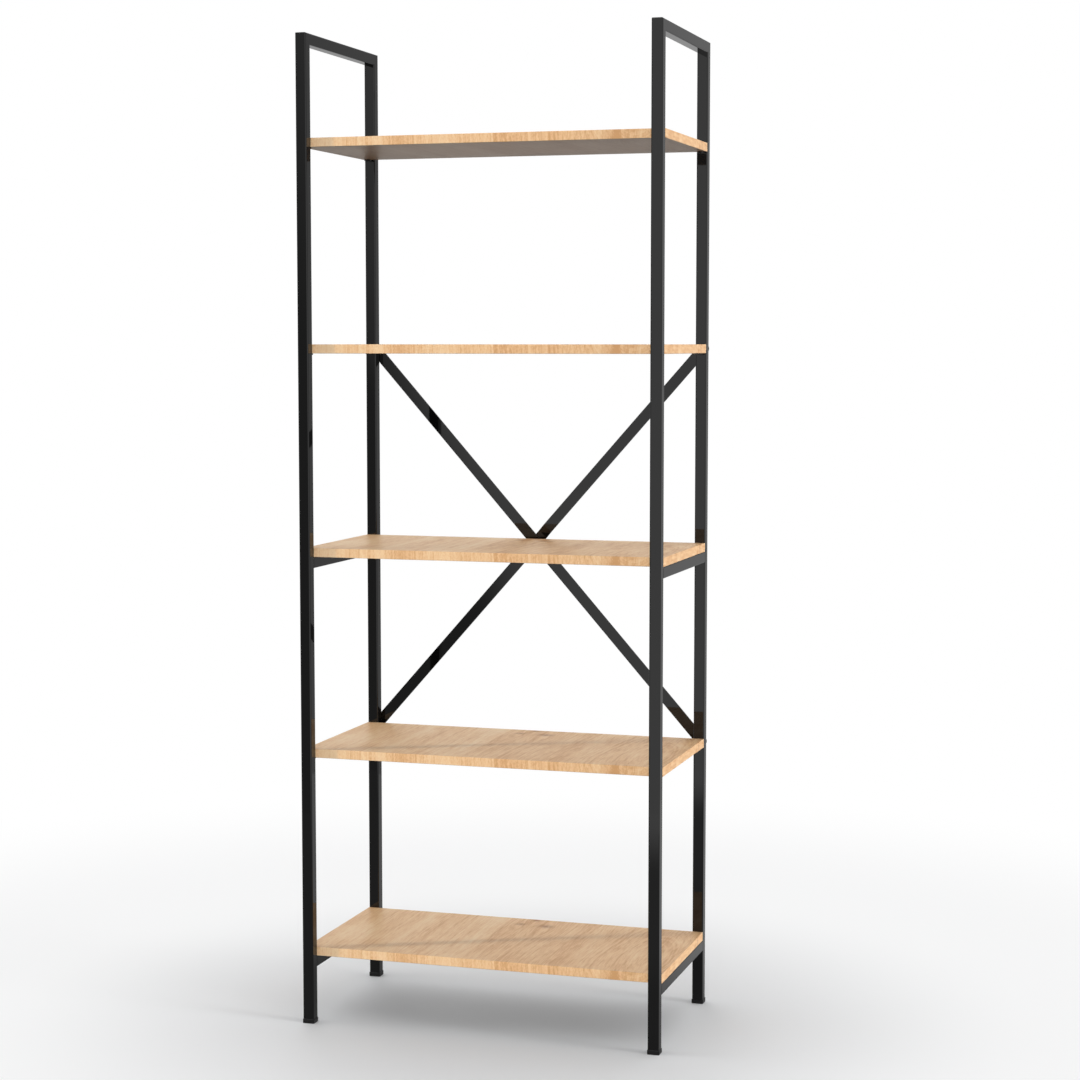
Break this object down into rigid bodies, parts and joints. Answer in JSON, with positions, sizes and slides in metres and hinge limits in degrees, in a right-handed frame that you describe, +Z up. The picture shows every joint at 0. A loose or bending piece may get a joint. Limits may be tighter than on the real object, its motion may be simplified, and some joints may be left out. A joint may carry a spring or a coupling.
{
  "type": "shelving unit",
  "caption": "Tall open shelving unit: welded square-tube side frames carry wooden boards, with a flat-bar X-brace across the back.",
  "frame": {"origin": "on the floor, in the middle of the box that the whole unit takes up", "axes": "+X along the boards, to the right seen from the front; +Y to the back, where the brace is; +Z up"},
  "size_m": [0.662, 0.359, 1.76],
  "materials": {
    "frame_black": "glossy black powder coat on steel",
    "board_wood": "pale oiled wood, grain from front to back",
    "foot_plastic": "black moulded plastic",
    "fastener_black": "black coated steel",
    "zinc_steel": "zinc plated steel"
  },
  "bodies": {
    "root": {"bottom_shelf": "board_wood", "bottom_shelf_screws": "fastener_black", "brace_bolts": "fastener_black", "brace_rivet": "fastener_black", "brace_rivet_nuts": "zinc_steel", "falling_brace_bar": "frame_black", "left_bottom_crossbar": "frame_black", "left_front_foot": "foot_plastic", "left_front_lower_tab": "frame_black", "left_front_top_tab": "frame_black", "left_front_upper_tab": "frame_black", "left_front_upright": "frame_black", "left_middle_crossbar": "frame_black", "left_rear_foot": "foot_plastic", "left_rear_lower_tab": "frame_black", "left_rear_top_tab": "frame_black", "left_rear_upper_tab": "frame_black", "left_rear_upright": "frame_black", "left_top_rail": "frame_black", "lower_shelf": "board_wood", "lower_shelf_screws": "fastener_black", "middle_shelf": "board_wood", "middle_shelf_screws": "fastener_black", "right_bottom_crossbar": "frame_black", "right_front_foot": "foot_plastic", "right_front_lower_tab": "frame_black", "right_front_top_tab": "frame_black", "right_front_upper_tab": "frame_black", "right_front_upright": "frame_black", "right_middle_crossbar": "frame_black", "right_rear_foot": "foot_plastic", "right_rear_lower_tab": "frame_black", "right_rear_top_tab": "frame_black", "right_rear_upper_tab": "frame_black", "right_rear_upright": "frame_black", "right_top_rail": "frame_black", "rising_brace_bar": "frame_black", "top_shelf": "board_wood", "top_shelf_screws": "fastener_black", "upper_shelf": "board_wood", "upper_shelf_screws": "fastener_black"}
  },
  "joints": []
}
